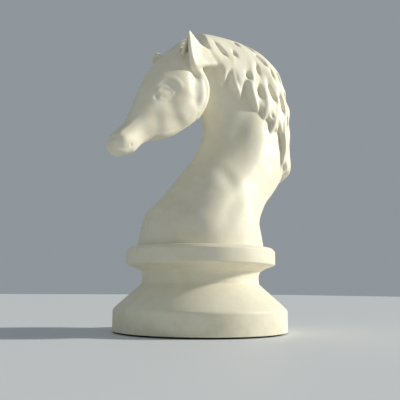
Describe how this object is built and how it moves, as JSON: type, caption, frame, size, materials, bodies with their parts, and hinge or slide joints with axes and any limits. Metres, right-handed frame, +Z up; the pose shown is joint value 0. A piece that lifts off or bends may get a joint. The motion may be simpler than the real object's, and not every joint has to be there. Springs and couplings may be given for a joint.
{
  "type": "giant lawn chess knight",
  "caption": "Giant lawn chess knight: hollow horse-head figure in two halves with mane cap and ears, screwed onto a sand-weighted round base.",
  "frame": {"origin": "centre of the underside, on the floor, on the vertical axis of the turned base", "axes": "+Z up along the base's axis; the horse looks along -Y; +X is the horse's left side"},
  "size_m": [0.3939, 0.5124, 0.7197],
  "materials": {
    "ivory_body": "matte, smooth, faint moulding texture",
    "ivory_foot": "matte moulded",
    "dark_nylon": "matte moulded nylon",
    "recycled_plate": "matte, slightly mottled",
    "rubber": "matt rubber",
    "foam": "closed-cell foam",
    "steel": "zinc plated",
    "alu_tube": "mill finish",
    "sand": "dry sand",
    "wood_pin": "beech dowel"
  },
  "bodies": {
    "base": {"base_shell": "ivory_body", "socket_ring": "dark_nylon", "socket_ring_screws": "steel", "base_plate": "recycled_plate", "base_plate_screws": "steel", "rubber_feet": "rubber", "feet_screws": "steel", "plug_bush": "dark_nylon", "sand_ballast": "sand"},
    "gasket": {"collar_gasket": "rubber"},
    "figure": {"figure_foot": "ivory_foot", "spigot_thread_ring": "dark_nylon", "figure_foot_screws": "steel", "figure_shell_left": "ivory_body", "figure_shell_right": "ivory_body", "mane_crest": "ivory_body", "left_ear": "ivory_body", "right_ear": "ivory_body", "neck_tube": "alu_tube", "tube_packing": "foam", "seam_screws": "steel", "screw_caps": "ivory_body", "seam_dowels": "wood_pin"},
    "seal": {"plug_seal": "rubber"},
    "plug": {"fill_plug": "dark_nylon"}
  },
  "joints": [
    {"name": "figure_lift", "type": "slide", "parent": "base", "child": "gasket", "axis": [0, 0, 1], "range_m": [0, 0.06]},
    {"name": "figure_turn", "type": "hinge", "parent": "gasket", "child": "figure", "pos_m": [0, 0, 0.187], "axis": [0, 0, 1], "range_deg": [0, 720]},
    {"name": "plug_drop", "type": "slide", "parent": "base", "child": "seal", "axis": [0, 0, -1], "range_m": [0, 0.018]},
    {"name": "plug_turn", "type": "hinge", "parent": "seal", "child": "plug", "pos_m": [0, 0.095, 0.006], "axis": [0, 0, -1], "range_deg": [0, 1080]}
  ],
  "couplings": [
    {"joint": "figure_lift", "follows": "figure_turn", "m_per_rad": 0.0047746},
    {"joint": "plug_drop", "follows": "plug_turn", "m_per_rad": 0.00095493}
  ]
}
